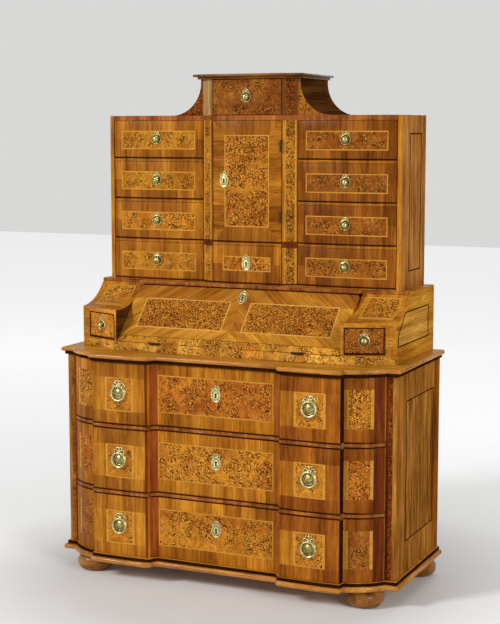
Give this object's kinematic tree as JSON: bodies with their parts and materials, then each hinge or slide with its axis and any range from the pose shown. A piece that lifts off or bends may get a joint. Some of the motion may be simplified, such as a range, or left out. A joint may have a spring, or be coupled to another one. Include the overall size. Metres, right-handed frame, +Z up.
{
  "type": "bureau cabinet",
  "caption": "Baroque bureau cabinet: serpentine chest of drawers on bun feet, slanted writing fall between canted boxes, stepped cabinet with door, small drawers and pediment.",
  "frame": {"origin": "centre of the footprint on the floor, the whole depth centred", "axes": "+X to the right seen from the front, +Y to the back, +Z up"},
  "size_m": [1.3, 0.605, 1.8],
  "materials": {
    "walnut": "polished burl veneer",
    "pine": "plain aged softwood",
    "brass": "aged cast brass",
    "iron": "dark forged iron"
  },
  "bodies": {
    "carcass": {"bun_feet": "walnut", "base_moulding": "walnut", "chest_top": "walnut", "chest_sides": "walnut", "chest_rails": "walnut", "desk_plinth": "walnut", "desk_box_left": "walnut", "desk_box_right": "walnut", "desk_top": "walnut", "writing_interior": "walnut", "upper_sides": "walnut", "upper_shelves": "walnut", "upper_partitions": "walnut", "fixed_hinges": "iron", "pediment_case": "walnut", "cornice": "walnut", "back_boards": "pine"},
    "chest_drawer_1": {"chest_drawer_front_1": "walnut", "chest_drawer_box_1": "pine", "chest_fittings_1": "brass"},
    "ring_left_1": {"chest_ring_left_1": "brass"},
    "ring_right_1": {"chest_ring_right_1": "brass"},
    "chest_drawer_2": {"chest_drawer_front_2": "walnut", "chest_drawer_box_2": "pine", "chest_fittings_2": "brass"},
    "ring_left_2": {"chest_ring_left_2": "brass"},
    "ring_right_2": {"chest_ring_right_2": "brass"},
    "chest_drawer_3": {"chest_drawer_front_3": "walnut", "chest_drawer_box_3": "pine", "chest_fittings_3": "brass"},
    "ring_left_3": {"chest_ring_left_3": "brass"},
    "ring_right_3": {"chest_ring_right_3": "brass"},
    "desk_drawer_left": {"desk_drawer_left": "walnut", "desk_knob_left": "brass"},
    "desk_drawer_right": {"desk_drawer_right": "walnut", "desk_knob_right": "brass"},
    "fall": {"fall_panel": "walnut", "fall_fittings": "brass"},
    "column_drawer_left_1": {"column_drawer_left_1": "walnut", "column_knob_left_1": "brass"},
    "column_drawer_left_2": {"column_drawer_left_2": "walnut", "column_knob_left_2": "brass"},
    "column_drawer_left_3": {"column_drawer_left_3": "walnut", "column_knob_left_3": "brass"},
    "column_drawer_left_4": {"column_drawer_left_4": "walnut", "column_knob_left_4": "brass"},
    "column_drawer_right_1": {"column_drawer_right_1": "walnut", "column_knob_right_1": "brass"},
    "column_drawer_right_2": {"column_drawer_right_2": "walnut", "column_knob_right_2": "brass"},
    "column_drawer_right_3": {"column_drawer_right_3": "walnut", "column_knob_right_3": "brass"},
    "column_drawer_right_4": {"column_drawer_right_4": "walnut", "column_knob_right_4": "brass"},
    "bay_drawer": {"bay_drawer": "walnut", "bay_drawer_fittings": "brass"},
    "pediment_drawer": {"pediment_drawer": "walnut", "pediment_knob": "brass"},
    "door": {"door_panel": "walnut", "door_fittings": "brass"}
  },
  "joints": [
    {"name": "chest_drawer_slide_1", "type": "slide", "parent": "carcass", "child": "chest_drawer_1", "axis": [0, -1, 0], "range_m": [0, 0.36]},
    {"name": "ring_left_1_swing", "type": "hinge", "parent": "chest_drawer_1", "child": "ring_left_1", "pos_m": [-0.3625, -0.2931, 0.70817], "axis": [-1, 0, 0], "range_deg": [0, 78]},
    {"name": "ring_right_1_swing", "type": "hinge", "parent": "chest_drawer_1", "child": "ring_right_1", "pos_m": [0.3625, -0.2931, 0.70817], "axis": [-1, 0, 0], "range_deg": [0, 78]},
    {"name": "chest_drawer_slide_2", "type": "slide", "parent": "carcass", "child": "chest_drawer_2", "axis": [0, -1, 0], "range_m": [0, 0.36]},
    {"name": "ring_left_2_swing", "type": "hinge", "parent": "chest_drawer_2", "child": "ring_left_2", "pos_m": [-0.3625, -0.2931, 0.4685], "axis": [-1, 0, 0], "range_deg": [0, 78]},
    {"name": "ring_right_2_swing", "type": "hinge", "parent": "chest_drawer_2", "child": "ring_right_2", "pos_m": [0.3625, -0.2931, 0.4685], "axis": [-1, 0, 0], "range_deg": [0, 78]},
    {"name": "chest_drawer_slide_3", "type": "slide", "parent": "carcass", "child": "chest_drawer_3", "axis": [0, -1, 0], "range_m": [0, 0.36]},
    {"name": "ring_left_3_swing", "type": "hinge", "parent": "chest_drawer_3", "child": "ring_left_3", "pos_m": [-0.3625, -0.2931, 0.22883], "axis": [-1, 0, 0], "range_deg": [0, 78]},
    {"name": "ring_right_3_swing", "type": "hinge", "parent": "chest_drawer_3", "child": "ring_right_3", "pos_m": [0.3625, -0.2931, 0.22883], "axis": [-1, 0, 0], "range_deg": [0, 78]},
    {"name": "desk_drawer_slide_left", "type": "slide", "parent": "carcass", "child": "desk_drawer_left", "axis": [0, -1, 0], "range_m": [0, 0.22]},
    {"name": "desk_drawer_slide_right", "type": "slide", "parent": "carcass", "child": "desk_drawer_right", "axis": [0, -1, 0], "range_m": [0, 0.22]},
    {"name": "fall_hinge", "type": "hinge", "parent": "carcass", "child": "fall", "pos_m": [0, -0.1828, 0.84965], "axis": [1, 0, 0], "range_deg": [0, 134]},
    {"name": "column_drawer_slide_left_1", "type": "slide", "parent": "carcass", "child": "column_drawer_left_1", "axis": [0, -1, 0], "range_m": [0, 0.18]},
    {"name": "column_drawer_slide_left_2", "type": "slide", "parent": "carcass", "child": "column_drawer_left_2", "axis": [0, -1, 0], "range_m": [0, 0.18]},
    {"name": "column_drawer_slide_left_3", "type": "slide", "parent": "carcass", "child": "column_drawer_left_3", "axis": [0, -1, 0], "range_m": [0, 0.18]},
    {"name": "column_drawer_slide_left_4", "type": "slide", "parent": "carcass", "child": "column_drawer_left_4", "axis": [0, -1, 0], "range_m": [0, 0.18]},
    {"name": "column_drawer_slide_right_1", "type": "slide", "parent": "carcass", "child": "column_drawer_right_1", "axis": [0, -1, 0], "range_m": [0, 0.18]},
    {"name": "column_drawer_slide_right_2", "type": "slide", "parent": "carcass", "child": "column_drawer_right_2", "axis": [0, -1, 0], "range_m": [0, 0.18]},
    {"name": "column_drawer_slide_right_3", "type": "slide", "parent": "carcass", "child": "column_drawer_right_3", "axis": [0, -1, 0], "range_m": [0, 0.18]},
    {"name": "column_drawer_slide_right_4", "type": "slide", "parent": "carcass", "child": "column_drawer_right_4", "axis": [0, -1, 0], "range_m": [0, 0.18]},
    {"name": "bay_drawer_slide", "type": "slide", "parent": "carcass", "child": "bay_drawer", "axis": [0, -1, 0], "range_m": [0, 0.19]},
    {"name": "pediment_drawer_slide", "type": "slide", "parent": "carcass", "child": "pediment_drawer", "axis": [0, -1, 0], "range_m": [0, 0.19]},
    {"name": "door_hinge", "type": "hinge", "parent": "carcass", "child": "door", "pos_m": [0.13365, 0.0062, 1.42325], "axis": [0, 0, 1], "range_deg": [0, 100]}
  ]
}
